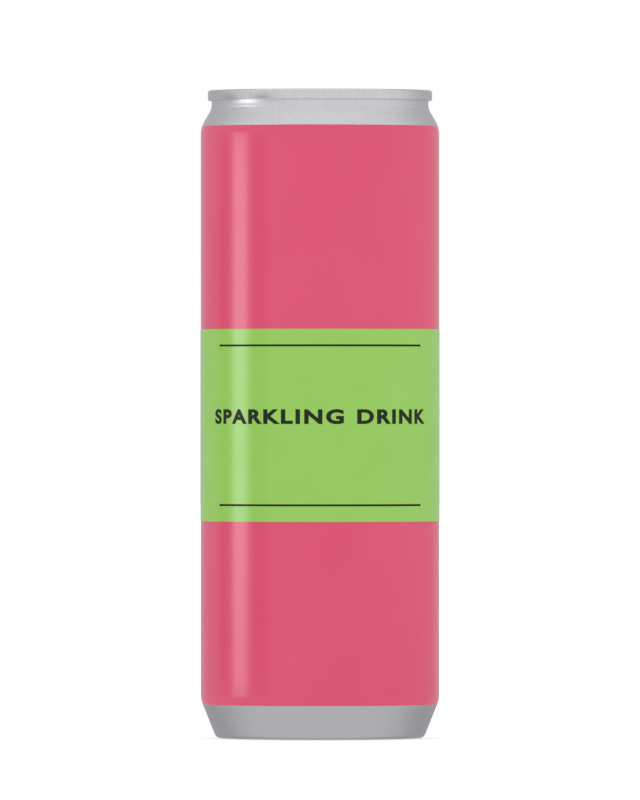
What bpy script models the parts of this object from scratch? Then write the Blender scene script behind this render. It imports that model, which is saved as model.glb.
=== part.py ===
"""A slim 355 ml aluminium drinks can: drawn body, seamed end with a stay-on tab, wrap label and drink.

Lengths are in metres. The origin is the centre of the circle that the base stands on, +Z is up the
can's axis, and -Y is the front, where the label's lettering and the mouth are.
"""

import math

import bpy

MM = 0.001

# Driving sizes of the can
HEIGHT = 155.6 * MM
BODY_RADIUS = 28.65 * MM
SEAM_RADIUS = 26.95 * MM
STAND_RADIUS = 23.65 * MM
SHEET = 0.2 * MM  # metal thickness throughout, a little over the real 0.1 to 0.2 mm
GAP = 0.1 * MM  # between the layers of the seam, and between the label and the body
SEGMENTS = 48  # flats round every turned piece

# Base: dome, standing ring and taper
DOME_RADIUS = 48.0 * MM
DOME_HEIGHT = 10.4 * MM
DOME_LEG_RADIUS = 22.15 * MM
DOME_FILLET = 1.4 * MM
FOOT_FLAT = 0.5 * MM
FOOT_OUTER_BEND = 1.5 * MM
WALL_BOTTOM = 10.4 * MM
WALL_BEND = 6.2 * MM  # where the wall turns in, at both ends of the can

# Neck and shoulder
WALL_TOP = 145.0 * MM
SHOULDER_SLOPE = math.radians(30)
NECK_BEND = 4.1 * MM

# Double seam: five layers of sheet, each one sheet and one gap further in
SEAM_HEIGHT = 2.5 * MM
LAYER = SHEET + GAP
SEAM_CORNER = 0.2 * MM
COMPOUND = 0.2 * MM
BODY_HOOK = 1.0 * MM
END_HOOK = 1.2 * MM

# End: chuck wall, countersink and centre panel
CHUCK_WALL_TOP = HEIGHT - 2.6 * MM
CHUCK_WALL_FOOT = HEIGHT - 5.9 * MM
CHUCK_WALL_SLOPE = math.radians(30)
COUNTERSINK_DEPTH = 6.8 * MM
COUNTERSINK_BEND = 0.5 * MM
PANEL_DEPTH = 4.5 * MM
PANEL_BEND = 0.4 * MM
PANEL_TOP = HEIGHT - PANEL_DEPTH

# Mouth in the end, and the tear panel that closes it
MOUTH_HALF_WIDTH = 11.0 * MM
MOUTH_HALF_LENGTH = 8.3 * MM
MOUTH_CENTRE_Y = -11.9 * MM
MOUTH_REAR_POWER = 3.0  # nearly straight beside the rivet
MOUTH_FRONT_POWER = 2.2  # almost an ellipse at the drinking lip
SCORE_GAP = 0.3 * MM
TEAR_HINGE_Y = -3.85 * MM

# Rivet, and the tongue of the tab that it holds down
RIVET_SHANK_RADIUS = 1.6 * MM
RIVET_HEAD_RADIUS = 2.5 * MM
RIVET_HEAD_BOTTOM = PANEL_TOP + 0.5 * MM
RIVET_HEAD_EDGE = PANEL_TOP + 0.8 * MM
RIVET_HEAD_TOP = PANEL_TOP + 1.0 * MM
TONGUE_BOTTOM = PANEL_TOP + 0.1 * MM
TONGUE_TOP = PANEL_TOP + 0.4 * MM
TONGUE_HOLE_RADIUS = 1.75 * MM
TONGUE_HALF_WIDTH = 2.75 * MM
TONGUE_CENTRE_Y = 0.25 * MM
TONGUE_FRONT_Y = -4.1 * MM

# Pull tab
TAB_HINGE_Y = -4.2 * MM
TAB_BOTTOM = PANEL_TOP + 0.15 * MM
TAB_TOP = PANEL_TOP + 1.45 * MM
TAB_HALF_WIDTH = 7.9 * MM
TAB_HALF_LENGTH = 12.25 * MM
TAB_CENTRE_Y = 5.35 * MM
TAB_POWER = 2.6
TAB_RIM = 1.3 * MM
TAB_SKIN = 0.35 * MM
TAB_EDGE_BEVEL = 0.3 * MM
WINDOW_HALF_WIDTH = 3.4 * MM
WINDOW_FRONT_Y = -4.3 * MM
FINGER_HALF_WIDTH = 4.9 * MM
FINGER_HALF_LENGTH = 3.6 * MM
FINGER_CENTRE_Y = 11.6 * MM
FINGER_POWER = 2.5

# Label and drink
LABEL_BOTTOM = 52.1 * MM
LABEL_TOP = 98.2 * MM
LABEL_THICKNESS = 0.15 * MM
DRINK_LEVEL = 145.5 * MM
DRINK_CLEARANCE = 0.3 * MM
DRINK_MOAT_RADIUS = 23.85 * MM  # lowest ring of the drink, in the channel inside the standing ring
DRINK_MOAT_BEND = 1.0 * MM

OUTLINE_POINTS = 48
CUT = 2 * MM  # how far a cutter runs past what it cuts


def clear_scene():
    for obj in list(bpy.data.objects):
        bpy.data.objects.remove(obj)


def material(name, colour, roughness, metallic):
    made = bpy.data.materials.new(name)
    made.use_nodes = True
    shader = made.node_tree.nodes["Principled BSDF"]
    shader.inputs["Base Color"].default_value = (*colour, 1.0)
    shader.inputs["Roughness"].default_value = roughness
    shader.inputs["Metallic"].default_value = metallic
    return made


def add_object(name, points, edges, faces, finish=None):
    mesh = bpy.data.meshes.new(name)
    mesh.from_pydata(points, edges, faces)
    mesh.update()
    obj = bpy.data.objects.new(name, mesh)
    bpy.context.scene.collection.objects.link(obj)
    if finish:
        mesh.materials.append(finish)
    return obj


def arc(centre, radius, start, end, steps):
    """Points (r, z) on an arc, with its angles in radians."""
    angles = [start + (end - start) * i / steps for i in range(steps + 1)]
    return [(centre[0] + radius * math.cos(a), centre[1] + radius * math.sin(a)) for a in angles]


def spin_profile(obj):
    """Turns a profile in the XZ plane right round the Z axis."""
    screw = obj.modifiers.new("turned", "SCREW")
    screw.axis = "Z"
    screw.angle = 2 * math.pi
    screw.steps = SEGMENTS
    screw.render_steps = SEGMENTS
    screw.use_merge_vertices = True
    screw.merge_threshold = 0.00001
    screw.use_smooth_shade = True


def turned_sheet(name, centreline, finish):
    """A turned shell of the sheet's thickness, from the line along the middle of the sheet."""
    points = [(r, 0.0, z) for r, z in centreline]
    edges = [(i, i + 1) for i in range(len(points) - 1)]
    obj = add_object(name, points, edges, [], finish)
    spin_profile(obj)
    sheet = obj.modifiers.new("sheet", "SOLIDIFY")
    sheet.thickness = SHEET
    sheet.offset = 0.0
    sheet.use_even_offset = True
    return obj


def turned_solid(name, section, finish, closed=False):
    """A turned solid from its section, listed down its outer side. An open section ends on the axis."""
    points = [(r, 0.0, z) for r, z in section]
    edges = [(i, i + 1) for i in range(len(points) - 1)]
    if closed:
        edges.append((len(points) - 1, 0))
    obj = add_object(name, points, edges, [], finish)
    spin_profile(obj)
    return obj


def prism(name, outline, bottom, top, finish=None):
    """An upright prism on an outline of (x, y) points listed anticlockwise."""
    count = len(outline)
    points = [(x, y, bottom) for x, y in outline] + [(x, y, top) for x, y in outline]
    sides = [(i, (i + 1) % count, count + (i + 1) % count, count + i) for i in range(count)]
    caps = [tuple(reversed(range(count))), tuple(range(count, 2 * count))]
    return add_object(name, points, [], sides + caps, finish)


def superellipse(half_width, half_length, centre_y, front_power, rear_power=None):
    """|x / half_width| ^ power + |y / half_length| ^ power = 1, with its own power to the front, -Y."""
    outline = []
    for i in range(OUTLINE_POINTS):
        angle = 2 * math.pi * i / OUTLINE_POINTS
        c, s = math.cos(angle), math.sin(angle)
        power = front_power if s < 0 or rear_power is None else rear_power
        x = half_width * math.copysign(abs(c) ** (2 / power), c)
        y = half_length * math.copysign(abs(s) ** (2 / power), s)
        outline.append((x, centre_y + y))
    return outline


def tongue_outline(half_width, front_y):
    """Round to the rear, about the tongue's own centre, and square to the front."""
    turns = OUTLINE_POINTS // 2
    rear = [(half_width * math.cos(math.pi * i / turns), half_width * math.sin(math.pi * i / turns))
            for i in range(turns + 1)]
    rear = [(x, TONGUE_CENTRE_Y + y) for x, y in rear]
    return rear + [(-half_width, front_y), (half_width, front_y)]


def boolean(obj, operation, other):
    """Joins or cuts obj with a helper, which stays in the file but isn't a part."""
    step = obj.modifiers.new(other.name, "BOOLEAN")
    step.operation = operation
    step.solver = "EXACT"
    step.object = other
    other.hide_render = True
    other.display_type = "WIRE"


def taper_angle(upper, upper_radius, lower, lower_radius):
    """Slope from upright of the straight line that touches both arcs on their outer sides."""
    across, up = upper[0] - lower[0], upper[1] - lower[1]
    reach = math.hypot(across, up)
    return math.asin((upper_radius - lower_radius) / reach) - math.atan2(-across, up)


def base_centreline():
    """From the middle of the dome, out and down to the standing ring, and up to the wall."""
    half = SHEET / 2
    dome_centre = (0.0, DOME_HEIGHT + half - DOME_RADIUS)
    fillet_r = DOME_LEG_RADIUS - DOME_FILLET
    fillet_rise = math.sqrt((DOME_RADIUS - DOME_FILLET) ** 2 - fillet_r ** 2)
    dome_end = math.atan2(fillet_rise, fillet_r)
    dome = arc(dome_centre, DOME_RADIUS, math.pi / 2, dome_end, 4)
    dome[0] = (0.0, dome[0][1])
    fillet = arc((fillet_r, dome_centre[1] + fillet_rise), DOME_FILLET, dome_end, 0.0, 3)

    flat_start = STAND_RADIUS - FOOT_FLAT / 2
    inner_bend = flat_start - DOME_LEG_RADIUS
    inner = arc((flat_start, half + inner_bend), inner_bend, math.pi, 1.5 * math.pi, 3)

    wall_centre = (BODY_RADIUS - half - WALL_BEND, WALL_BOTTOM)
    foot_centre = (flat_start + FOOT_FLAT, half + FOOT_OUTER_BEND)
    slope = taper_angle(wall_centre, WALL_BEND, foot_centre, FOOT_OUTER_BEND)
    outer = arc(foot_centre, FOOT_OUTER_BEND, -math.pi / 2, -slope, 3)
    wall = arc(wall_centre, WALL_BEND, -slope, 0.0, 3)
    return dome + fillet[1:] + inner + outer + wall


def layer_radius(layer):
    """Middle of one of the seam's five layers, counted from the outside."""
    return SEAM_RADIUS - SHEET / 2 - layer * LAYER


def neck_centreline():
    """From the top of the wall over the shoulder, up the neck and over into the body hook."""
    half = SHEET / 2
    neck_radius = layer_radius(3)
    shoulder_centre = (BODY_RADIUS - half - WALL_BEND, WALL_TOP)
    shoulder = arc(shoulder_centre, WALL_BEND, 0.0, SHOULDER_SLOPE, 3)
    neck_r = neck_radius + NECK_BEND
    across = (neck_r - shoulder_centre[0]) * math.cos(SHOULDER_SLOPE)
    rise = (WALL_BEND + NECK_BEND - across) / math.sin(SHOULDER_SLOPE)
    neck = arc((neck_r, WALL_TOP + rise), NECK_BEND, math.pi + SHOULDER_SLOPE, math.pi, 3)
    hook_radius = layer_radius(1)
    top = HEIGHT - 3 * half - COMPOUND - 2 * GAP
    hook = [
        (neck_radius, top - SEAM_CORNER / 2),
        (neck_radius + SEAM_CORNER / 2, top),
        (hook_radius - SEAM_CORNER / 2, top),
        (hook_radius, top - SEAM_CORNER / 2),
        (hook_radius, top - BODY_HOOK),
    ]
    return shoulder + neck + hook


def make_body(finish):
    return turned_sheet("can_body", base_centreline() + neck_centreline(), finish)


def end_centreline():
    """From the middle of the panel, down through the countersink, up the chuck wall and round the seam."""
    half = SHEET / 2
    panel_z = PANEL_TOP - half
    wall_top_r = layer_radius(4)
    wall_foot_r = wall_top_r - (CHUCK_WALL_TOP - CHUCK_WALL_FOOT) * math.tan(CHUCK_WALL_SLOPE)
    groove_centre = (wall_foot_r - COUNTERSINK_BEND, HEIGHT - COUNTERSINK_DEPTH + half + COUNTERSINK_BEND)
    panel_wall_r = groove_centre[0] - COUNTERSINK_BEND
    shoulder_centre = (panel_wall_r - PANEL_BEND, panel_z - PANEL_BEND)
    panel = [(0.0, panel_z)] + arc(shoulder_centre, PANEL_BEND, math.pi / 2, 0.0, 2)
    groove = arc(groove_centre, COUNTERSINK_BEND, math.pi, 2 * math.pi, 4)

    outer_r, hook_r = layer_radius(0), layer_radius(2)
    top, foot = HEIGHT - half, HEIGHT - SEAM_HEIGHT + half
    seam = [
        (wall_foot_r, CHUCK_WALL_FOOT),
        (wall_top_r, CHUCK_WALL_TOP),
        (wall_top_r, top - SEAM_CORNER),
        (wall_top_r + SEAM_CORNER, top),
        (outer_r - SEAM_CORNER, top),
        (outer_r, top - SEAM_CORNER),
        (outer_r, foot + SEAM_CORNER / 2),
        (outer_r - SEAM_CORNER / 2, foot),
        (hook_r + SEAM_CORNER / 2, foot),
        (hook_r, foot + SEAM_CORNER / 2),
        (hook_r, foot + END_HOOK),
    ]
    return panel + groove + seam


def make_end(finish):
    """The lid, with its mouth cut and its rivet standing on the panel, for the metal is one piece."""
    end = turned_sheet("can_end", end_centreline(), finish)
    mouth = superellipse(
        MOUTH_HALF_WIDTH, MOUTH_HALF_LENGTH, MOUTH_CENTRE_Y, MOUTH_FRONT_POWER, MOUTH_REAR_POWER
    )
    boolean(end, "DIFFERENCE", prism("mouth_cutter", mouth, PANEL_TOP - CUT, PANEL_TOP + CUT))
    rivet = turned_solid("rivet_form", [
        (0.0, RIVET_HEAD_TOP),
        (RIVET_SHANK_RADIUS, RIVET_HEAD_TOP),
        (RIVET_HEAD_RADIUS, RIVET_HEAD_EDGE),
        (RIVET_HEAD_RADIUS, RIVET_HEAD_BOTTOM),
        (RIVET_SHANK_RADIUS, RIVET_HEAD_BOTTOM),
        (RIVET_SHANK_RADIUS, PANEL_TOP - SHEET / 2),
        (0.0, PANEL_TOP - SHEET / 2),
    ], None)
    boolean(end, "UNION", rivet)
    return end


def make_tear_panel(finish):
    outline = superellipse(
        MOUTH_HALF_WIDTH - SCORE_GAP,
        MOUTH_HALF_LENGTH - SCORE_GAP,
        MOUTH_CENTRE_Y - TEAR_HINGE_Y,
        MOUTH_FRONT_POWER,
        MOUTH_REAR_POWER,
    )
    panel = prism("tear_panel", outline, -SHEET / 2, SHEET / 2, finish)
    panel.location = (0.0, TEAR_HINGE_Y, PANEL_TOP - SHEET / 2)
    return panel


def make_tongue(finish):
    """The flat tongue of the tab under the rivet's head. It stays down when the tab lifts."""
    outline = tongue_outline(TONGUE_HALF_WIDTH, TONGUE_FRONT_Y)
    tongue = prism("tab_rivet_tongue", outline, TONGUE_BOTTOM, TONGUE_TOP, finish)
    hole = turned_solid("tongue_hole_cutter", [
        (0.0, TONGUE_TOP + CUT),
        (TONGUE_HOLE_RADIUS, TONGUE_TOP + CUT),
        (TONGUE_HOLE_RADIUS, TONGUE_BOTTOM - CUT),
        (0.0, TONGUE_BOTTOM - CUT),
    ], None)
    boolean(tongue, "DIFFERENCE", hole)
    return tongue


def grown(outline, centre_y, half_width, half_length, margin):
    """The outline scaled about its centre so that its half sizes grow by the margin."""
    across = (half_width + margin) / half_width
    along = (half_length + margin) / half_length
    return [(x * across, centre_y + (y - centre_y) * along) for x, y in outline]


def make_tab(finish):
    """The lever: a rimmed plate, hollow below, with a finger hole and a window round the tongue."""
    outline = superellipse(TAB_HALF_WIDTH, TAB_HALF_LENGTH, TAB_CENTRE_Y, TAB_POWER)
    tab = prism("pull_tab", outline, TAB_BOTTOM, TAB_TOP, finish)
    bevel = tab.modifiers.new("rolled_edge", "BEVEL")
    bevel.width = TAB_EDGE_BEVEL
    bevel.segments = 2
    bevel.limit_method = "ANGLE"
    bevel.angle_limit = math.radians(60)

    hollow = grown(outline, TAB_CENTRE_Y, TAB_HALF_WIDTH, TAB_HALF_LENGTH, -TAB_RIM)
    boolean(tab, "DIFFERENCE", prism("hollow_cutter", hollow, TAB_BOTTOM - CUT, TAB_TOP - TAB_SKIN))

    finger = superellipse(FINGER_HALF_WIDTH, FINGER_HALF_LENGTH, FINGER_CENTRE_Y, FINGER_POWER)
    lip = grown(finger, FINGER_CENTRE_Y, FINGER_HALF_WIDTH, FINGER_HALF_LENGTH, TAB_RIM)
    lip_bottom = TAB_BOTTOM + TAB_EDGE_BEVEL
    boolean(tab, "UNION", prism("finger_lip", lip, lip_bottom, TAB_TOP - TAB_SKIN / 2))
    boolean(tab, "DIFFERENCE", prism("finger_cutter", finger, TAB_BOTTOM - CUT, TAB_TOP + CUT))

    window = tongue_outline(WINDOW_HALF_WIDTH, WINDOW_FRONT_Y)
    boolean(tab, "DIFFERENCE", prism("window_cutter", window, TAB_BOTTOM - CUT, TAB_TOP + CUT))
    return tab


def hang_on_axis(name, obj, y, z):
    """Parents a moving piece to an empty that stands on its hinge axis, along X."""
    pivot = bpy.data.objects.new(name, None)
    bpy.context.scene.collection.objects.link(pivot)
    pivot.location = (0.0, y, z)
    obj.parent = pivot
    obj.location.y -= y
    obj.location.z -= z


def make_compound(finish):
    """The ring of sealing compound between the end's curl and the body hook."""
    inner, outer = layer_radius(3) - SHEET / 2, layer_radius(1) + SHEET / 2
    top = HEIGHT - SHEET - GAP
    section = [(outer, top), (outer, top - COMPOUND), (inner, top - COMPOUND), (inner, top)]
    return turned_solid("seam_compound", section, finish, closed=True)


def make_label(finish):
    inner = BODY_RADIUS + GAP
    outer = inner + LABEL_THICKNESS
    section = [(outer, LABEL_TOP), (outer, LABEL_BOTTOM), (inner, LABEL_BOTTOM), (inner, LABEL_TOP)]
    return turned_solid("wrap_label", section, finish, closed=True)


def make_drink(finish):
    """The drink fills the body up to its level, a clearance inside the sheet."""
    inset = SHEET + DRINK_CLEARANCE
    side = BODY_RADIUS - inset
    bend = WALL_BEND + SHEET / 2 - inset
    level_angle = math.asin((DRINK_LEVEL - WALL_TOP) / bend)
    surface = arc((side - bend, WALL_TOP), bend, level_angle, 0.0, 1)

    wall_centre = (side - bend, WALL_BOTTOM)
    moat_centre = (DRINK_MOAT_RADIUS, inset + DRINK_MOAT_BEND)
    slope = taper_angle(wall_centre, bend, moat_centre, DRINK_MOAT_BEND)
    wall = arc(wall_centre, bend, 0.0, -slope, 3)
    moat = arc(moat_centre, DRINK_MOAT_BEND, -slope, -math.pi / 2, 2)
    moat_inner = (DOME_LEG_RADIUS + SHEET / 2 + DRINK_CLEARANCE, moat_centre[1])

    crown_radius = DOME_RADIUS + SHEET / 2 + DRINK_CLEARANCE
    crown_centre = (0.0, DOME_HEIGHT + SHEET / 2 - DOME_RADIUS)
    crown_end = math.acos(moat_inner[0] / crown_radius)
    crown = arc(crown_centre, crown_radius, crown_end, math.pi / 2, 4)
    crown[-1] = (0.0, crown[-1][1])
    section = [(0.0, DRINK_LEVEL)] + surface + wall + moat + [moat_inner] + crown
    return turned_solid("drink", section, finish)


def main():
    clear_scene()
    lacquered = material("pink lacquered aluminium", (0.72, 0.10, 0.19), 0.3, 0.0)
    bare = material("bare aluminium", (0.58, 0.58, 0.61), 0.35, 1.0)
    rubber = material("sealing compound", (0.08, 0.08, 0.08), 0.7, 0.0)
    film = material("green label film", (0.30, 0.58, 0.13), 0.45, 0.0)
    liquid = material("pink drink", (0.70, 0.20, 0.18), 0.05, 0.0)

    make_body(lacquered)
    make_end(bare)
    make_compound(rubber)
    make_tongue(bare)
    make_label(film)
    make_drink(liquid)
    tear_panel = make_tear_panel(bare)
    hang_on_axis("tear_panel_hinge", tear_panel, TEAR_HINGE_Y, PANEL_TOP - SHEET / 2)
    tab = make_tab(bare)
    hang_on_axis("tab_hinge", tab, TAB_HINGE_Y, (TONGUE_BOTTOM + TONGUE_TOP) / 2)


main()
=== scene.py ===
import math

import bmesh
import bpy
import numpy as np
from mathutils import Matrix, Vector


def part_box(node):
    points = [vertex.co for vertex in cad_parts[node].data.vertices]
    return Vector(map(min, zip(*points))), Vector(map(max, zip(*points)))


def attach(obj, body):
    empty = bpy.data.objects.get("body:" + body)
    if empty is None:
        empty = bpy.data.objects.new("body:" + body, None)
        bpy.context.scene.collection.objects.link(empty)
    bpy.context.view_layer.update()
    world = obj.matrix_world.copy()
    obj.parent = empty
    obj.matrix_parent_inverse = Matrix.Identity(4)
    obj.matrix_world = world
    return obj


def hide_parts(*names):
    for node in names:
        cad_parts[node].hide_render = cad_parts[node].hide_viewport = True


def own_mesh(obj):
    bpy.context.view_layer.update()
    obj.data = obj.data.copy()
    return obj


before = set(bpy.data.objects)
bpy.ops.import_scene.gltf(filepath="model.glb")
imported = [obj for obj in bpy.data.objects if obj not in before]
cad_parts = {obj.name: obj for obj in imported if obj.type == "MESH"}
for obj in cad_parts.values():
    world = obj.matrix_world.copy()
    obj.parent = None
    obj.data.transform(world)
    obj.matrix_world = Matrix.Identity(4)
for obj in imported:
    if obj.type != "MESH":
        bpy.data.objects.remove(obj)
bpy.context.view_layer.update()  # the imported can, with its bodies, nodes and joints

mm = 0.001
noiseMiddle = {"From Min": 0.3, "From Max": 0.7}  # where most of a noise's values lie
reliefDepth = 0.02 * mm  # how deep the finest surface relief is taken to be


def nodeBox(node):  # lowest and highest corner of a CAD node, in millimetres
    low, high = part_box(node)
    return np.array(low) / mm, np.array(high) / mm


bodyRadius = nodeBox("can_body")[1][0]
seamRadius, _, canTop = nodeBox("can_end")[1]
tearLow, tearHigh = nodeBox("tear_panel")
labelLow, labelHigh = nodeBox("wrap_label")
tabLow, tabHigh = nodeBox("pull_tab")
tongueLow, tongueHigh = nodeBox("tab_rivet_tongue")
drinkLevel = nodeBox("drink")[1][2]
panelTop = tearHigh[2]
sheet = tearHigh[2] - tearLow[2]  # one thickness of metal
seamLayer = sheet + 0.1  # one sheet and the gap to the next, in the seam
tabMiddle, tabHalf = (tabLow[1] + tabHigh[1]) / 2, (tabHigh[1] - tabLow[1]) / 2


def linearColour(hexText):  # sRGB to linear: c / 12.92 in the dark toe, else ((c + 0.055) / 1.055) ^ 2.4
    values = np.array([int(hexText[i:i + 2], 16) for i in (1, 3, 5)]) / 255
    curve = np.where(values <= 0.04045, values / 12.92, ((values + 0.055) / 1.055) ** 2.4)
    return (*curve.tolist(), 1.0)


def smoothStep(x, low, high):  # 0 below low, 1 above high, and 3t^2 - 2t^3 between
    t = np.clip((x - low) / (high - low), 0, 1)
    return t * t * (3 - 2 * t)


def socketOf(sockets, key):  # by identifier, which tells sockets of one name apart, or else by name or place
    exact = [socket for socket in sockets if socket.identifier == key]
    return exact[0] if exact else sockets[key]


def setInputs(tree, node, inputs):  # each input is a plain value or a link from a (node, output)
    for key, value in inputs.items():
        socket = socketOf(node.inputs, key)
        if isinstance(value, tuple) and isinstance(value[0], bpy.types.Node):
            tree.links.new(socketOf(value[0].outputs, value[1]), socket)
        else:
            socket.default_value = value


def addNode(tree, kind, inputs=None, **settings):  # a shader node with its settings, values and links
    node = tree.nodes.new("ShaderNode" + kind)
    for key, value in settings.items():
        setattr(node, key, value)
    setInputs(tree, node, inputs or {})
    return node


def newMaterial(name, **values):  # a Principled material with its plain values set on its own sockets
    made = bpy.data.materials.new(name)
    made.use_nodes = True
    shader = made.node_tree.nodes["Principled BSDF"]
    for key, value in values.items():
        shader.inputs[key.replace("_", " ")].default_value = value
    return made, made.node_tree, shader


def stretchedNoise(tree, sizes, detail=2.0, roughness=0.5, shift=0.0):
    # noise on the can's own coordinates, whose grains have these sizes in mm
    place = addNode(tree, "TexCoord")
    scale = tuple(1 / (size * mm) for size in sizes)
    grain = addNode(tree, "Mapping", {
        "Vector": (place, "Object"), "Scale": scale, "Location": (shift,) * 3})
    noise = addNode(tree, "TexNoise", {
        "Vector": (grain, "Vector"), "Scale": 1.0, "Detail": detail, "Roughness": roughness})
    return noise, "Fac"


def mottled(tree, noise, first, second):  # a colour that drifts from the first to the second with a noise
    share = addNode(tree, "MapRange", {"Value": noise, **noiseMiddle})
    drift = addNode(tree, "Mix", {
        "Factor_Float": (share, "Result"), "A_Color": linearColour(first),
        "B_Color": linearColour(second)}, data_type="RGBA")
    return drift, "Result_Color"


def mottledMaterial(name, sizes, colours, glosses, **values):
    # two close colours and two close roughnesses that drift together over the piece
    made, tree, shader = newMaterial(name, **values)
    cloud = stretchedNoise(tree, sizes)
    gloss = addNode(tree, "MapRange", {
        "Value": cloud, **noiseMiddle, "To Min": glosses[0], "To Max": glosses[1]})
    setInputs(tree, shader, {"Base Color": mottled(tree, cloud, *colours), "Roughness": (gloss, "Result")})
    return made, tree, shader


def gridFaces(rows, columns, wrapRows, wrapColumns):  # four corners of each cell, joined round where it wraps
    index = np.arange(rows * columns).reshape(rows, columns)
    if wrapRows:
        index = np.vstack([index, index[:1]])
    if wrapColumns:
        index = np.hstack([index, index[:, :1]])
    corners = index[:-1, :-1], index[:-1, 1:], index[1:, 1:], index[1:, :-1]
    return np.stack(corners, axis=-1).reshape(-1, 4)


def grid(points, wrapRows=False, wrapColumns=False, caps=False, slot=0):  # one surface of a piece
    return {"points": points, "wrap": (wrapRows, wrapColumns), "caps": caps, "slot": slot}


def addPiece(name, grids, materials, body, replaced=(), sharpAngle=35):
    # grids in millimetres become one welded mesh in metres, its faces turned out, smooth between sharp edges
    points, faces, slots, start = [], [], [], 0
    for part in grids:
        rows, columns = part["points"].shape[:2]
        cells = (gridFaces(rows, columns, *part["wrap"]) + start).tolist()
        if part["caps"]:
            cells += [list(range(start, start + columns))]
            cells += [list(range(start + (rows - 1) * columns, start + rows * columns))]
        points.append(part["points"].reshape(-1, 3))
        faces += cells
        slots += [part["slot"]] * len(cells)
        start += rows * columns
    mesh = bpy.data.meshes.new(name)
    mesh.from_pydata((np.vstack(points) * mm).tolist(), [], faces)
    mesh.polygons.foreach_set("material_index", slots)
    weldAndTurn(mesh)
    return finishPiece(name, mesh, materials, body, replaced, sharpAngle)


def weldAndTurn(mesh):  # merges meeting points, then turns every face outwards
    work = bmesh.new()
    work.from_mesh(mesh)
    bmesh.ops.remove_doubles(work, verts=work.verts, dist=0.0005 * mm)
    bmesh.ops.recalc_face_normals(work, faces=work.faces)
    work.to_mesh(mesh)
    work.free()


def finishPiece(name, mesh, materials, body, replaced=(), sharpAngle=35):
    for made in materials:
        mesh.materials.append(made)
    mesh.shade_smooth()
    mesh.set_sharp_from_angle(angle=math.radians(sharpAngle))
    piece = bpy.data.objects.new(name, mesh)
    bpy.context.scene.collection.objects.link(piece)
    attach(piece, body)
    if replaced:
        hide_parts(*replaced)
    return piece


def arcLine(centre, radius, start, end, count):  # centre + radius * (cos, sin), from start to end in degrees
    angles = np.radians(np.linspace(start, end, count))
    return np.stack([centre[0] + radius * np.cos(angles), centre[1] + radius * np.sin(angles)], axis=1)


def joinLines(*lines):  # the lines end to end, without the points that repeat
    line = np.vstack(lines)
    steps = np.linalg.norm(np.diff(line, axis=0), axis=1)
    return line[np.concatenate([[True], steps > 1e-5])]


def filletLine(corners, radii, arcCount=8, spacing=1.5):
    # straight runs joined by arcs that touch both neighbours: setback = radius / tan(half the corner)
    def run(first, last):
        return np.linspace(first, last, max(2, int(np.linalg.norm(last - first) / spacing) + 2))

    corners = [np.array(corner, float) for corner in corners]
    lines, last = [], corners[0]
    for before, corner, after, radius in zip(corners, corners[1:], corners[2:], radii):
        back, ahead = before - corner, after - corner
        back, ahead = back / np.linalg.norm(back), ahead / np.linalg.norm(ahead)
        half = math.acos(np.clip(back @ ahead, -1, 1)) / 2
        start, end = corner + back * radius / math.tan(half), corner + ahead * radius / math.tan(half)
        middle = (back + ahead) / np.linalg.norm(back + ahead)
        centre = corner + middle * radius / math.sin(half)
        first = math.degrees(math.atan2(*(start - centre)[::-1]))
        turn = math.degrees(math.atan2(*(end - centre)[::-1])) - first
        turn = (turn + 180) % 360 - 180
        lines += [run(last, start), arcLine(centre, radius, first, first + turn, arcCount)]
        last = end
    return joinLines(*lines, run(last, corners[-1]))


def sidesOf(line, half):  # the line moved half a sheet to its right and to its left, square to its run
    runs = np.diff(line, axis=0)
    runs /= np.linalg.norm(runs, axis=1)[:, None]
    along = np.vstack([runs[:1], runs[:-1] + runs[1:], runs[-1:]])
    along /= np.linalg.norm(along, axis=1)[:, None]
    right = np.stack([along[:, 1], -along[:, 0]], axis=1)
    return line + right * half, line - right * half


def fullTurn(count):  # evenly spaced angles, once round
    return np.linspace(0, 2 * np.pi, count, endpoint=False)


def carriedRound(line, angles):  # (r cos a, r sin a, z) for each point (r, z) of the line and each angle a
    r, z = line[:, :1], line[:, 1:]
    return np.stack([r * np.cos(angles), r * np.sin(angles), z + 0 * angles], axis=-1)


def turned(line, segments):  # the line turned once round the can's axis, starting at the front
    return carriedRound(line, fullTurn(segments) - np.pi / 2)


def rolledRound(radius, turn, z):  # (r sin a, -r cos a, z), where a is 0 at the front and grows rightwards
    return np.stack([radius * np.sin(turn), -radius * np.cos(turn), z + 0 * radius], axis=-1)


def rayReach(dx, dy, halfWidth, rearLength, frontLength, rearPower, frontPower):
    # how far a ray (dx, dy) from a superellipse's centre runs to its edge: (|dx/a|^p + |dy/b|^p)^(-1/p)
    power = np.where(dy >= 0, rearPower, frontPower)
    length = np.where(dy >= 0, rearLength, frontLength)
    return (np.abs(dx / halfWidth) ** power + np.abs(dy / length) ** power) ** (-1 / power)


def edgeDistance(x, y, centreY, shape):  # distance past a superellipse's edge, along the ray from its centre
    dx, dy = x, y - centreY
    length = np.maximum(np.hypot(dx, dy), 1e-6)
    return length - rayReach(dx / length, dy / length, *shape)


def lineDistance(points, outline):  # shortest distance from each point to a closed line of short segments
    flat = points.reshape(-1, 2)
    run = np.roll(outline, -1, axis=0) - outline
    offset = flat[:, None] - outline
    share = np.clip((offset * run).sum(-1) / np.maximum((run * run).sum(-1), 1e-12), 0, 1)
    gap = offset - share[..., None] * run
    return np.sqrt((gap * gap).sum(-1).min(1)).reshape(points.shape[:-1])


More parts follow.
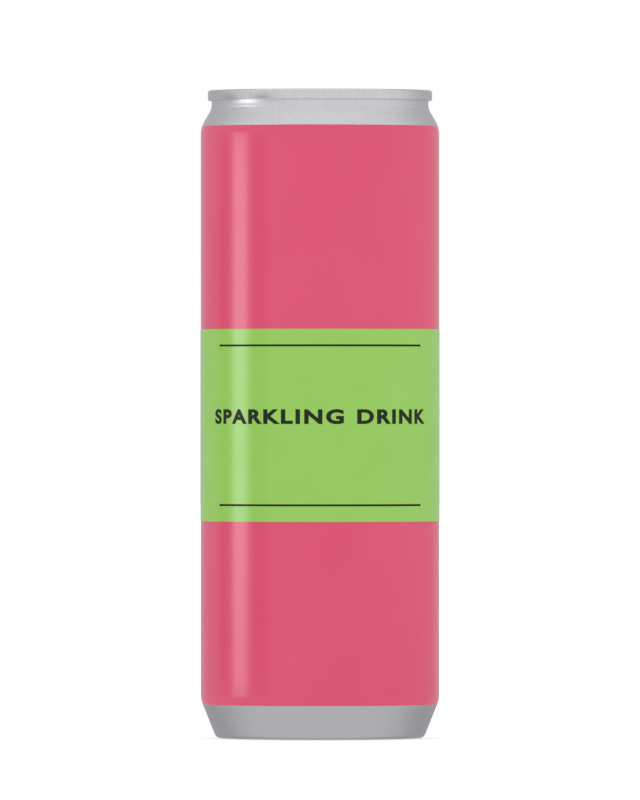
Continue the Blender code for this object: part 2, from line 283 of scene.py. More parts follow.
metalLook = {
    "neck": "#dcdce0",  # bright aluminium at the neck and in the end
    "endShade": "#d2d2d7",
    "tab": "#dedee2",
    "tabShade": "#d2d2d8",
    "rivetShade": "#d4d4d9",
    "base": "#bdbdc2",  # darker grey at the bottom and under the dome: painted shade, for the bottom lying in shade
    "baseRings": "#cacacf",
    "drawShade": "#96969c",  # in the hollows of the body's draw lines
    "grainWidth": 0.3,  # mm; rolling and draw lines are finer than this, and drawn as coarse as they show
    "grainLength": 14.0,
    "grainThrough": 2.0,
    "coinedGrain": 0.5,
    "domeGrain": 0.25,
    "ringSpacing": 1.3,  # mm between the faint rings under the dome
    "patchSize": 9.0,
    "grainGloss": 0.05,  # how far the roughness swings with the grain and from patch to patch
    "patchGloss": 0.02,
}


def sheetMetalMaterial(name, colours, grainSizes, roughness, shift=0.0):
    # rolled or drawn aluminium sheet: soft grey shine, broken into faint straight lines along its grain
    look = metalLook
    made, tree, shader = newMaterial(name, Metallic=1.0)
    grain = stretchedNoise(tree, grainSizes, 3.0, 0.6, shift)
    gloss = addNode(tree, "MapRange", {
        "Value": grain, **noiseMiddle,
        "To Min": roughness - look["grainGloss"], "To Max": roughness + look["grainGloss"]})
    patches = addNode(tree, "MapRange", {
        "Value": stretchedNoise(tree, (look["patchSize"],) * 3), **noiseMiddle,
        "To Min": -look["patchGloss"], "To Max": look["patchGloss"]})
    total = addNode(tree, "Math", {0: (gloss, "Result"), 1: (patches, "Result")}, operation="ADD")
    bump = addNode(tree, "Bump", {"Strength": 0.12, "Distance": reliefDepth, "Height": grain})
    setInputs(tree, shader, {
        "Base Color": mottled(tree, grain, *colours), "Roughness": (total, "Value"),
        "Normal": (bump, "Normal")})
    return made


def domeMaterial():
    # bare aluminium pressed over a dome punch: a darker grey that is painted shade, with faint rings about
    # the middle and a satin grain
    look = metalLook
    made, tree, shader = newMaterial("bare_pressed_aluminium_dome", Metallic=1.0)
    place = addNode(tree, "TexCoord")
    rings = addNode(tree, "TexWave", {
        "Vector": (place, "Object"), "Scale": 1 / (look["ringSpacing"] * mm), "Distortion": 1.0,
        "Detail": 2.0}, wave_type="RINGS", rings_direction="Z")
    grain = stretchedNoise(tree, (look["domeGrain"],) * 3, 3.0, 0.6)
    mixed = addNode(tree, "Math", {0: (rings, "Fac"), 1: grain}, operation="MULTIPLY")
    shade = addNode(tree, "MapRange", {"Value": (mixed, "Value"), "From Min": 0.1, "From Max": 0.6})
    # painted shade: the dome's ground colour is the base's darker grey, under the paler rings
    colour = addNode(tree, "Mix", {
        "Factor_Float": (shade, "Result"), "A_Color": linearColour(look["base"]),
        "B_Color": linearColour(look["baseRings"])}, data_type="RGBA")
    gloss = addNode(tree, "MapRange", {"Value": grain, **noiseMiddle, "To Min": 0.3, "To Max": 0.42})
    bump = addNode(tree, "Bump", {"Strength": 0.1, "Distance": reliefDepth, "Height": (mixed, "Value")})
    setInputs(tree, shader, {
        "Base Color": (colour, "Result_Color"), "Roughness": (gloss, "Result"), "Normal": (bump, "Normal")})
    return made


lacquerLook = {
    "colour": "#d4496c",
    "deepColour": "#d24569",  # where the ink film is a little thicker
    "doubleColour": "#ca3c60",  # two layers of ink
    "cloudSizes": (16.0, 16.0, 30.0),
    "roughness": 0.2,
    "glossSwing": 0.015,
    "printBottom": 8.1,  # mm above the ground; bare metal below
    "printTop": 147.0,
    "edgeSoft": 0.06,
    "edgeWaver": 0.03,  # mm, how unevenly the print's edge runs, and the length of its waves
    "waverSize": 1.2,
    "overlapHalf": 0.4,  # mm, half the strip at the back where the print's end lies over its start
    "overlapSoft": 0.05,
    "peelSize": 1.1,  # mm, the slow waves that gloss lacquer dries with
    "inkDepth": 0.01,
    "drawLineLength": 60.0,
    "drawStrength": 0.16,
    "metalGloss": (0.3, 0.4),
    "baseShadeRise": 20.0,  # mm over which the base's darker grey, a painted shade, gives way to the neck's brighter grey
}


def printedBodyMaterial():
    # gloss lacquer over drawn aluminium: even strong pink under a clear wet shine, and past its edges the
    # bare satin metal with its upright draw lines
    look = lacquerLook
    made, tree, shader = newMaterial("pink_gloss_lacquer_on_drawn_aluminium")
    place = addNode(tree, "TexCoord")
    spot = addNode(tree, "SeparateXYZ", {"Vector": (place, "Object")})
    waver = addNode(tree, "MapRange", {
        "Value": stretchedNoise(tree, (look["waverSize"],) * 3), **noiseMiddle,
        "To Min": -look["edgeWaver"] * mm, "To Max": look["edgeWaver"] * mm})
    level = addNode(tree, "Math", {0: (spot, "Z"), 1: (waver, "Result")}, operation="ADD")
    soft, bottom, top = look["edgeSoft"] * mm, look["printBottom"] * mm, look["printTop"] * mm
    above = addNode(tree, "MapRange", {
        "Value": (level, "Value"), "From Min": bottom - soft, "From Max": bottom + soft})
    below = addNode(tree, "MapRange", {
        "Value": (level, "Value"), "From Min": top + soft, "From Max": top - soft})
    printed = addNode(tree, "Math", {0: (above, "Result"), 1: (below, "Result")}, operation="MULTIPLY")
    bare = addNode(tree, "Math", {0: 1.0, 1: (printed, "Value")}, operation="SUBTRACT")

    cloud = stretchedNoise(tree, look["cloudSizes"])
    side = addNode(tree, "Math", {0: (spot, "X")}, operation="ABSOLUTE")
    strip = addNode(tree, "MapRange", {
        "Value": (side, "Value"), "From Min": (look["overlapHalf"] + look["overlapSoft"]) * mm,
        "From Max": look["overlapHalf"] * mm})
    behind = addNode(tree, "Math", {0: (spot, "Y"), 1: 0.0}, operation="GREATER_THAN")
    double = addNode(tree, "Math", {0: (strip, "Result"), 1: (behind, "Value")}, operation="MULTIPLY")
    ink = addNode(tree, "Mix", {
        "Factor_Float": (double, "Value"), "B_Color": linearColour(look["doubleColour"]),
        "A_Color": mottled(tree, cloud, look["colour"], look["deepColour"])}, data_type="RGBA")

    drawLines = stretchedNoise(tree, (metalLook["grainWidth"],) * 2 + (look["drawLineLength"],), 3.0, 0.6)
    # painted shade: the bare metal is darkest at the bottom and brightens over this rise towards the neck
    upper = addNode(tree, "MapRange", {
        "Value": (spot, "Z"), "From Min": bottom, "From Max": bottom + look["baseShadeRise"] * mm})
    metal = addNode(tree, "Mix", {
        "Factor_Float": (upper, "Result"), "A_Color": linearColour(metalLook["base"]),
        "B_Color": linearColour(metalLook["neck"])}, data_type="RGBA")
    shade = addNode(tree, "MapRange", {"Value": drawLines, **noiseMiddle, "To Max": look["drawStrength"]})
    streaked = addNode(tree, "Mix", {
        "Factor_Float": (shade, "Result"), "A_Color": (metal, "Result_Color"),
        "B_Color": linearColour(metalLook["drawShade"])}, data_type="RGBA")
    colour = addNode(tree, "Mix", {
        "Factor_Float": (printed, "Value"), "A_Color": (streaked, "Result_Color"),
        "B_Color": (ink, "Result_Color")}, data_type="RGBA")

    metalGloss = addNode(tree, "MapRange", {
        "Value": drawLines, **noiseMiddle,
        "To Min": look["metalGloss"][0], "To Max": look["metalGloss"][1]})
    inkGloss = addNode(tree, "MapRange", {
        "Value": cloud, **noiseMiddle, "To Min": look["roughness"] - look["glossSwing"],
        "To Max": look["roughness"] + look["glossSwing"]})
    gloss = addNode(tree, "Mix", {
        "Factor_Float": (printed, "Value"), "A_Float": (metalGloss, "Result"),
        "B_Float": (inkGloss, "Result")}, data_type="FLOAT")
    peel = stretchedNoise(tree, (look["peelSize"],) * 3, 1.0)
    peelBump = addNode(tree, "Bump", {"Strength": 0.05, "Distance": reliefDepth, "Height": peel})
    inkEdge = addNode(tree, "Bump", {
        "Strength": 0.4, "Distance": look["inkDepth"] * mm, "Height": (printed, "Value"),
        "Normal": (peelBump, "Normal")})
    setInputs(tree, shader, {
        "Base Color": (colour, "Result_Color"), "Metallic": (bare, "Value"),
        "Roughness": (gloss, "Result_Float"), "Normal": (inkEdge, "Normal")})
    return made


def liningMaterial():
    # clear epoxy lining on aluminium: the metal's grey, a touch warm, with a wetter shine than bare sheet
    return mottledMaterial("clear_epoxy_lining_on_aluminium", (5.0, 5.0, 12.0), ("#c6c4bc", "#b9b6ab"),
                           (0.22, 0.32), Metallic=0.9)[0]


def compoundMaterial():
    # water-based sealing compound: a soft matt grey rubber
    return mottledMaterial("sealing_compound_rubber", (0.2, 0.2, 0.2), ("#56565a", "#4a4a4d"),
                           (0.6, 0.75))[0]


bodyLook = {
    "domeRadius": 48.0,
    "domeHeight": 10.4,  # underside of the dome's middle above the ground
    "legRadius": 22.15,  # middle of the sheet in the steep wall inside the standing ring
    "legBend": 1.4,
    "standRadius": 23.65,
    "standFlat": 0.5,
    "footBend": 1.5,
    "wallBottom": 10.4,
    "wallTop": 145.0,
    "wallBend": 6.2,
    "neckSlope": 30.0,
    "neckBend": 4.1,
    "neckRings": 0.035,  # mm, the faint rings that necking dies leave
    "ringPitch": 1.15,
    "ringsRise": (147.8, 148.8),  # heights over which the rings come in and die out
    "ringsFade": (151.6, 152.6),
    "hookGap": 0.4,  # mm between the body hook's top and the end's sheet over it
    "hookLength": 1.0,
    "hookBend": 0.25,
    "segments": 256,
}


def tangentSlope(upper, upperRadius, lower, lowerRadius):  # slope of the line that touches both arcs outside
    across, up = upper[0] - lower[0], upper[1] - lower[1]
    lean = math.asin((upperRadius - lowerRadius) / math.hypot(across, up))
    return math.degrees(lean - math.atan2(-across, up))


def baseLine():  # dome, steep inner leg, standing ring and taper, as arcs that run into each other
    look, half = bodyLook, sheet / 2
    domeCentre = (0.0, look["domeHeight"] + half - look["domeRadius"])
    filletRadius = look["legRadius"] - look["legBend"]
    filletRise = math.sqrt((look["domeRadius"] - look["legBend"]) ** 2 - filletRadius ** 2)
    domeEnd = math.degrees(math.atan2(filletRise, filletRadius))
    dome = arcLine(domeCentre, look["domeRadius"], 90, domeEnd, 26)
    dome[0, 0] = 0
    leg = arcLine((filletRadius, domeCentre[1] + filletRise), look["legBend"], domeEnd, 0, 8)
    flatStart = look["standRadius"] - look["standFlat"] / 2
    innerBend = flatStart - look["legRadius"]
    inner = arcLine((flatStart, half + innerBend), innerBend, 180, 270, 9)
    wallCentre = (bodyRadius - half - look["wallBend"], look["wallBottom"])
    footCentre = (flatStart + look["standFlat"], half + look["footBend"])
    slope = tangentSlope(wallCentre, look["wallBend"], footCentre, look["footBend"])
    outer = arcLine(footCentre, look["footBend"], -90, -slope, 9)
    wall = arcLine(wallCentre, look["wallBend"], -slope, 0, 9)
    return joinLines(dome, leg, np.linspace(leg[-1], inner[0], 4), inner, outer,
                     np.linspace(outer[-1], wall[0], 7), wall)


def neckLine():  # wall bend, 30 degree shoulder, hollow bend into the neck, then over into the body hook
    look, half = bodyLook, sheet / 2
    neck = seamRadius - half - 3 * seamLayer
    hook = seamRadius - half - seamLayer
    slope = math.radians(look["neckSlope"])
    shoulderCentre = (bodyRadius - half - look["wallBend"], look["wallTop"])
    shoulder = arcLine(shoulderCentre, look["wallBend"], 0, look["neckSlope"], 10)
    neckCentre = neck + look["neckBend"]
    across = (neckCentre - shoulderCentre[0]) * math.cos(slope)
    rise = (look["wallBend"] + look["neckBend"] - across) / math.sin(slope)
    hollow = arcLine((neckCentre, look["wallTop"] + rise), look["neckBend"], 180 + look["neckSlope"], 180, 14)
    top = canTop - 3 * half - look["hookGap"]
    over = filletLine([hollow[-1], (neck, top), (hook, top), (hook, top - look["hookLength"])],
                      [look["hookBend"]] * 2, 5, 0.6)
    return joinLines(shoulder, np.linspace(shoulder[-1], hollow[0], 8), hollow, over)


def makeBody(printed, lining, domed):  # one sheet turned round the axis: its line moved half a sheet each way
    look = bodyLook
    base, neck = baseLine(), neckLine()
    outside, inside = sidesOf(joinLines(base, np.linspace(base[-1], neck[0], 40), neck), sheet / 2)
    foot = int(np.argmin(outside[:60, 1]))  # the row on the ground, where the dome's bare metal ends
    outside[0, 0] = inside[0, 0] = 0
    height = outside[:, 1]
    zone = smoothStep(height, *look["ringsRise"]) * (1 - smoothStep(height, *look["ringsFade"]))
    outside[:, 0] += look["neckRings"] * zone * np.cos(2 * np.pi * height / look["ringPitch"])
    inside = np.vstack([inside[:1], inside[1:-1:2], inside[-1:]])[::-1]
    outer = turned(np.vstack([outside, inside[:1]]), look["segments"])
    inner = turned(inside, look["segments"])
    surfaces = [grid(outer[foot:], wrapColumns=True), grid(inner, wrapColumns=True, slot=1),
                grid(outer[:foot + 1], wrapColumns=True, slot=2)]
    addPiece("drawn_can_body", surfaces, [printed, lining, domed], "can", ["can_body"])


mouthLook = {
    "centreY": -11.9,
    "halfWidth": 11.0,
    "halfLength": 8.3,
    "rearPower": 3.0,
    "frontPower": 2.2,
    "score": 0.07,  # mm, how far the score's two sides dip at the cut, and how far the dip reaches
    "scoreReach": 0.12,
}
endLook = {
    "raise": 0.45,  # mm, how far the outer panel stands over the debossed middle
    "debossWall": 0.55,
    "debossMargins": (0.5, 1.1),  # mm from the mouth and from the tab to the foot of that wall
    "debossPower": 2.6,
    "debossBlend": 2,  # how tightly the two outlines run into each other
    "wellDepth": 0.75,  # the finger well under the tab's heel
    "wellCentre": 17.4,
    "wellHalf": (6.6, 4.0),
    "beadRadius": 17.6,  # the two side beads lie on this circle
    "beadMiddle": 32.0,  # degrees behind the can's side
    "beadHalf": 12.0,
    "beadFade": 8.0,
    "beadHeight": 0.38,
    "beadWidth": 0.85,
    "panelRadius": 21.9,
    "grooveSides": (22.75, 23.745),  # mm, inner and outer wall of the countersink
    "grooveFoot": 6.7,  # mm below the top of the seam, as the next four
    "chuckFoot": 5.9,
    "chuckTop": 2.6,
    "hookFoot": 2.4,
    "hookTop": 1.2,
    "bends": (0.4, 0.4974, 0.4974, 0.3, 1.2, 0.38, 0.5, 0.25, 0.25),
    "topSteps": (0, 0.03, 0.07, 0.12, 0.2, 0.3),  # mm of the first rows from the mouth
    "topRows": (40, 9, 32),  # rows up to the deboss wall, up it, and on to the panel's edge
    "underSteps": (0, 0.3),
    "underRows": (16, 4, 12),
    "columns": 380,
}


def mouthShape(margin=0.0, rearMargin=None):  # the mouth's superellipse, grown by a margin
    look = mouthLook
    rear = margin if rearMargin is None else rearMargin
    return (look["halfWidth"] + margin, look["halfLength"] + rear, look["halfLength"] + margin,
            look["rearPower"], look["frontPower"])


def debossDistance(x, y):  # distance past the joined outlines of mouth and tab: -log(e^(-2a) + e^(-2b)) / 2
    look, power = endLook, endLook["debossPower"]
    mouthMargin, tabMargin = look["debossMargins"]
    tabLength = tabHalf + tabMargin
    tabShape = (tabHigh[0] + tabMargin, tabLength, tabLength, power, power)
    fromMouth = np.clip(edgeDistance(x, y, mouthLook["centreY"], mouthShape(mouthMargin)), -8, 8)
    fromTab = np.clip(edgeDistance(x, y, tabMiddle, tabShape), -8, 8)
    blend = look["debossBlend"]
    return -np.log(np.exp(-blend * fromMouth) + np.exp(-blend * fromTab)) / blend


def debossReach(dx, dy, level, near, far):  # where each ray's deboss distance meets a level, by halving
    for halving in range(40):
        middle = (near + far) / 2
        past = debossDistance(middle * dx, mouthLook["centreY"] + middle * dy) > level
        near, far = np.where(past, near, middle), np.where(past, middle, far)
    return middle


def panelHeight(x, y):
    # the middle lies low inside the joined outlines of mouth and tab, with two side beads and a finger well:
    # each bead is height * exp(-((r - radius) / width)^2), and the well is 1 - (x/a)^2 - (y/b)^2, smoothed
    look = endLook
    raised = look["raise"] * smoothStep(debossDistance(x, y), 0.0, look["debossWall"])
    radius, side = np.hypot(x, y), np.degrees(np.arctan2(y, np.abs(x))) - look["beadMiddle"]
    bead = look["beadHeight"] * np.exp(-((radius - look["beadRadius"]) / look["beadWidth"]) ** 2)
    bead *= 1 - smoothStep(np.abs(side), look["beadHalf"], look["beadHalf"] + look["beadFade"])
    across, along = look["wellHalf"]
    well = np.clip(1 - (x / across) ** 2 - ((y - look["wellCentre"]) / along) ** 2, 0, 1)
    return raised + bead - look["wellDepth"] * well * well * (3 - 2 * well)


def endLine():
    # panel shoulder, countersink, chuck wall, over the seam, down outside it and up into the end hook
    look, half = endLook, sheet / 2
    outer = seamRadius - half
    hook, chuck = outer - 2 * seamLayer, outer - 4 * seamLayer
    inside, foot = look["grooveSides"]
    groove, panel = canTop - look["grooveFoot"], panelTop - half + look["raise"]
    corners = [(look["panelRadius"], panel), (inside, panel), (inside, groove), (foot, groove),
               (foot, canTop - look["chuckFoot"]), (chuck, canTop - look["chuckTop"]),
               (chuck, canTop - half), (outer, canTop - half), (outer, canTop - look["hookFoot"]),
               (hook, canTop - look["hookFoot"]), (hook, canTop - look["hookTop"])]
    return filletLine(corners, look["bends"], 9, 0.8)


def panelRays(angles):
    # how far the mouth's edge, the deboss wall's foot and top, and the circle lie along rays from its centre
    dx, dy = np.cos(angles), np.sin(angles)
    centreY = mouthLook["centreY"]
    mouth = rayReach(dx, dy, *mouthShape())
    circle = -centreY * dy + np.sqrt(endLook["panelRadius"] ** 2 - (centreY * dx) ** 2)
    wallFoot = debossReach(dx, dy, 0.0, mouth + endLook["topSteps"][-1], circle)
    wallTop = debossReach(dx, dy, endLook["debossWall"], wallFoot, circle)
    return dx, dy, mouth, wallFoot, wallTop, circle


def evenRays(count):  # angles whose steps cover equal lengths, summed over the mouth, the wall and the circle
    angles = np.linspace(0, 2 * np.pi, 6001)
    dx, dy, *reaches = panelRays(angles)
    steps = sum(np.hypot(np.diff(reach * dx), np.diff(reach * dy)) for reach in reaches)
    covered = np.concatenate([[0], np.cumsum(steps)])
    return np.interp(np.linspace(0, covered[-1], count, endpoint=False), covered, angles)


def makeEnd(metal):
    look = endLook
    centreY = mouthLook["centreY"]
    dx, dy, mouth, wallFoot, wallTop, circle = panelRays(evenRays(look["columns"]))

    def panelRows(steps, counts):  # rows follow the mouth, the deboss wall's foot and top, and the circle
        reach = [mouth + step for step in steps]
        for start, end, count in zip((reach[-1], wallFoot, wallTop), (wallFoot, wallTop, circle), counts):
            reach += [start + (end - start) * share for share in np.linspace(0, 1, count + 1)[1:]]
        reach = np.array(reach)
        return reach * dx, centreY + reach * dy, reach - mouth

    x, y, cut = panelRows(look["topSteps"], look["topRows"])
    dip = mouthLook["score"] * (1 - smoothStep(cut, 0.0, mouthLook["scoreReach"]))
    top = np.stack([x, y, panelTop + panelHeight(x, y) - dip], axis=-1)
    x, y, cut = panelRows(look["underSteps"], look["underRows"])
    under = np.stack([x, y, panelTop - sheet + panelHeight(x, y)], axis=-1)

    azimuth = np.arctan2(centreY + circle * dy, circle * dx)
    below, above = sidesOf(endLine(), sheet / 2)
    below = np.vstack([below[:1], below[1:-1:2], below[-1:]])
    rows = np.vstack([top, carriedRound(above[1:], azimuth), carriedRound(below[1:], azimuth)[::-1],
                      under[::-1]])
    addPiece("seamed_can_end", [grid(rows, True, True)], [metal], "can", ["can_end"])


rivetLook = {
    "headRadius": 2.5,
    "headTop": 1.0,
    "headBottom": 0.5,
    "edgeDrop": 0.06,
    "dimple": 0.12,
    "dimpleRadius": 1.7,
    "shank": 1.6,
    "shankDepth": 0.15,
    "bends": (0.3, 0.12, 0.08, 0.02),
    "segments": 96,
}


def makeRivet(metal):  # a turned button: dimpled head, round edge, short shank into the panel
    look = rivetLook
    top, low, foot = (panelTop + rise for rise in (look["headTop"], look["headBottom"], -look["shankDepth"]))
    dish = np.linspace(0, 1, 12)
    sunk = look["dimple"] * (1 - smoothStep(dish, 0.35, 1.0))
    crown = np.stack([dish * look["dimpleRadius"], top - sunk], axis=1)
    head, shank = look["headRadius"], look["shank"]
    corners = [crown[-1], (head, top - look["edgeDrop"]), (head, low), (shank, low), (shank, foot), (0, foot)]
    line = joinLines(crown, filletLine(corners, look["bends"], 7, 0.4))
    line[0, 0] = line[-1, 0] = 0
    addPiece("rivet_button", [grid(turned(line, look["segments"]), wrapColumns=True)],
             [metal], "can")


tearLook = {
    "gap": 0.06,  # mm of open score at the front and sides
    "rearGap": 0.3,  # the hinge side keeps the CAD's gap
    "beadInset": 2.3,
    "beadWidth": 0.75,
    "beadHeight": 0.26,
    "beadFade": (-10.5, -8.3),  # along the can, from its full height to none on the hinge side
    "secondScore": 1.0,  # inset of the shallow groove that keeps the tear from splitting
    "grooveDepth": 0.045,
    "grooveWidth": 0.06,
    "dish": 0.12,
    "dishRim": (3.4, 5.2),
    "dishFade": (-10.0, -8.0),
    "insets": (0, 0.03, 0.07, 0.12, 0.2, 0.4, 0.6, 0.8, 0.88, 0.94, 1.0, 1.06, 1.12, 1.2, 1.35),
    "middleRows": 46,
    "columns": 300,
}


def makeTearPanel(metal):
    # a flat flap with a C-shaped bead inside its edge, a shallow second score and a slightly dished middle
    look = tearLook
    angles = fullTurn(look["columns"])
    dx, dy = np.cos(angles), np.sin(angles)
    reach = rayReach(dx, dy, *mouthShape(-look["gap"], -look["rearGap"]))
    insets = np.array(look["insets"])
    shares = np.linspace(1, 0, look["middleRows"])[1:]

    def flap(insets):
        near = reach - insets[:, None]
        rows = np.vstack([near, near[-1] * shares[:, None]])
        x, y = rows * dx, mouthLook["centreY"] + rows * dy
        inset = reach - rows
        bead = look["beadHeight"] * np.exp(-((inset - look["beadInset"]) / look["beadWidth"]) ** 2)
        bead *= 1 - smoothStep(y, *look["beadFade"])
        dish = look["dish"] * smoothStep(inset, *look["dishRim"]) * (1 - smoothStep(y, *look["dishFade"]))
        return x, y, inset, panelTop + bead - dish

    x, y, inset, z = flap(insets)
    dip = mouthLook["score"] * (1 - smoothStep(inset, 0.0, mouthLook["scoreReach"]))
    groove = look["grooveDepth"] * np.exp(-((inset - look["secondScore"]) / look["grooveWidth"]) ** 2)
    top = np.stack([x, y, z - dip - groove], axis=-1)
    x, y, inset, z = flap(insets[[0, 4, 8, 14]])
    under = np.stack([x, y, z - sheet], axis=-1)[::-1]
    addPiece("scored_tear_panel", [grid(np.vstack([under, top]), wrapColumns=True)],
             [metal], "panel", ["tear_panel"])


tabLook = {
    "power": 2.6,
    "splitY": 6.0,  # between the finger hole and the window, where the two patches meet
    "webTop": 0.32,  # mm over the rim's middle height
    "webBottom": 0.02,
    "topFall": 1.9,  # rim heights from the edge by which each side has fallen to the web
    "underStart": 1.2,
    "underFall": 2.2,
    "fingerCentre": 11.6,
    "fingerShape": (4.9, 3.6, 3.6, 2.5, 2.5),
    "windowCentre": -0.6,
    "windowShape": (3.4, 4.25, 3.68, 2.3, 7.0),
    "ribSide": 5.2,  # mm, how far the two stiffening ribs lie from the middle
    "ribWidth": 0.5,
    "ribHeight": 0.14,
    "ribRise": (-3.5, -2.0),
    "ribFade": (3.0, 5.0),
    "rows": 46,
    "arcPoints": 190,
    "splitPoints": 50,
}


def evenly(line, count):  # the same line with evenly spaced points, by distance along it
    lengths = np.concatenate([[0], np.cumsum(np.linalg.norm(np.diff(line, axis=0), axis=1))])
    wanted = np.linspace(0, lengths[-1], count)
    return np.stack([np.interp(wanted, lengths, line[:, i]) for i in (0, 1)], axis=1)


def tabOutline(start, end, count):  # (a cos^(2/p), b sin^(2/p)) about the tab's centre, evenly spaced
    angles = np.linspace(start, end, 3000)
    power = 2 / tabLook["power"]
    c, s = np.cos(angles), np.sin(angles)
    x = tabHigh[0] * np.sign(c) * np.abs(c) ** power
    y = tabMiddle + tabHalf * np.sign(s) * np.abs(s) ** power
    return evenly(np.stack([x, y], axis=1), count)


def tabPatch(boundary, centreY, shape):  # rays from a hole's edge to the boundary, rows closer at both ends
    offset = boundary - np.array([0, centreY])
    length = np.linalg.norm(offset, axis=1)
    unit = offset / length[:, None]
    hole = rayReach(unit[:, 0], unit[:, 1], *shape)
    share = (1 - np.cos(np.linspace(0, np.pi, tabLook["rows"]))) / 2
    reach = hole + (length - hole) * share[:, None]
    return np.stack([reach * unit[:, 0], centreY + reach * unit[:, 1]], axis=-1)


def makeTab(metal):
    # a thin web with its outer and finger-hole edges curled under: the rim is a half round as high as the tab
    look = tabLook
    rim, middle = (tabHigh[2] - tabLow[2]) / 2, (tabHigh[2] + tabLow[2]) / 2
    lift = math.asin(((look["splitY"] - tabMiddle) / tabHalf) ** (look["power"] / 2))
    rearArc = tabOutline(lift, np.pi - lift, look["arcPoints"])
    frontArc = tabOutline(np.pi - lift, 2 * np.pi + lift, look["arcPoints"])
    share = (1 - np.cos(np.linspace(0, np.pi, look["splitPoints"])))[1:-1, None] / 2
    across = rearArc[-1] + (rearArc[0] - rearArc[-1]) * share
    frontArc[0], frontArc[-1] = rearArc[-1], rearArc[0]
    rear = tabPatch(np.vstack([rearArc, across]), look["fingerCentre"], look["fingerShape"])
    front = tabPatch(np.vstack([frontArc, across[::-1]]), look["windowCentre"], look["windowShape"])
    outline = np.vstack([rearArc, frontArc[1:-1]])

    def heights(points):  # sqrt(rim^2 - (rim - edge)^2) round the curl, then a smooth step to the ribbed web
        x, y = points[..., 0], points[..., 1]
        edge = np.minimum(lineDistance(points, outline), lineDistance(points, rear[0]))
        curl = np.sqrt(np.clip(rim ** 2 - (rim - np.minimum(edge, rim)) ** 2, 0, None))
        ribs = np.exp(-((np.abs(x) - look["ribSide"]) / look["ribWidth"]) ** 2)
        ribs *= smoothStep(y, *look["ribRise"])
        ribs *= look["ribHeight"] * (1 - smoothStep(y, *look["ribFade"]))
        inward = smoothStep(edge, rim, look["topFall"] * rim)
        top = np.where(edge < rim, curl, rim + (look["webTop"] + ribs - rim) * inward)
        inward = smoothStep(edge, look["underStart"] * rim, look["underFall"] * rim)
        under = np.where(edge < rim, -curl, -rim + (look["webBottom"] + ribs + rim) * inward)
        return middle + top, middle + under

    surfaces = [grid(np.dstack([patch, z]), wrapColumns=True)
                for patch in (rear, front) for z in heights(patch)]
    wall = np.concatenate([np.dstack([front[:1], z]) for z in heights(front[:1])])
    surfaces.append(grid(wall, wrapColumns=True))
    addPiece("curled_pull_tab", surfaces, [metal], "tab", ["pull_tab"], 40)


tongueLook = {
    "halfWidth": 2.75,
    "hole": 1.72,
    "rearPower": 2.2,
    "frontPower": 7.0,
    "ease": 0.05,  # mm that the edges fall away, and the share of the width that they fall over
    "easeShare": 0.1,
    "shares": (0, 0.04, 0.1, 0.2, 0.35, 0.5, 0.65, 0.8, 0.9, 0.96, 1),
    "columns": 160,
}


def makeTongue(metal):  # a flat plate between a round hole and a superellipse, with both its edges eased
    look = tongueLook
    centreY = (tongueLow[1] + tongueHigh[1]) / 2
    rear, front = tongueHigh[1] - centreY, centreY - tongueLow[1]
    angles = fullTurn(look["columns"])
    dx, dy = np.cos(angles), np.sin(angles)
    outer = rayReach(dx, dy, look["halfWidth"], rear, front, look["rearPower"], look["frontPower"])
    outline = np.stack([outer * dx, centreY + outer * dy], axis=-1)
    hole = np.stack([look["hole"] * dx, look["hole"] * dy], axis=-1)
    share = np.array(look["shares"])[:, None, None]
    flat = hole + (outline - hole) * share
    edges = 1 - smoothStep(share[..., 0], 0, look["easeShare"])
    edges += smoothStep(share[..., 0], 1 - look["easeShare"], 1)
    level = 0 * flat[..., 0]
    top = np.dstack([flat, tongueHigh[2] - look["ease"] * edges + level])
    under = np.dstack([flat, tongueLow[2] + look["ease"] * edges + level])
    addPiece("tab_tongue", [grid(np.vstack([top, under[::-1]]), True, True)],
             [metal], "can", ["tab_rivet_tongue"])


labelLook = {
    "green": "#8dc254",
    "deepGreen": "#8bc051",
    "cloudSize": 7.0,
    "glosses": (0.18, 0.22),
    "rippleSize": 1.4,
    "ink": "#1e2814",
    "inkSpeck": "#222c18",
    "speckSize": 0.25,
    "inkGlosses": (0.3, 0.4),
    "clearance": 0.012,  # mm between the film and the wall
    "thickness": 0.08,
    "overlap": 4.0,  # mm of the film's end over its start, at the back
    "climb": (-1.6, -1.2, -0.8, -0.4, 0.0),  # degrees from the overlap, where the film climbs over its start
    "lift": 1.05,  # how far it climbs, in thicknesses
    "edgeEase": 0.02,
    "columnsAround": 480,
    "rowsUp": 24,
}
filmInside = bodyRadius + labelLook["clearance"]
filmOutside = filmInside + labelLook["thickness"]


def labelFilmMaterial():
    # printed polypropylene film: flat even green, a soft plastic shine, and the faint ripple of its adhesive
    look = labelLook
    made, tree, shader = mottledMaterial("green_polypropylene_label_film", (look["cloudSize"],) * 3,
                                         (look["green"], look["deepGreen"]), look["glosses"])
    ripple = stretchedNoise(tree, (look["rippleSize"],) * 3, 1.0)
    bump = addNode(tree, "Bump", {"Strength": 0.05, "Distance": reliefDepth, "Height": ripple})
    setInputs(tree, shader, {"Normal": (bump, "Normal")})
    return made


def inkMaterial():
    # flexo printing ink: nearly black green, a little less glossy than the film it lies on
    look = labelLook
    return mottledMaterial("dark_green_printing_ink", (look["speckSize"],) * 3,
                           (look["ink"], look["inkSpeck"]), look["inkGlosses"], Specular_IOR_Level=0.12)[0]


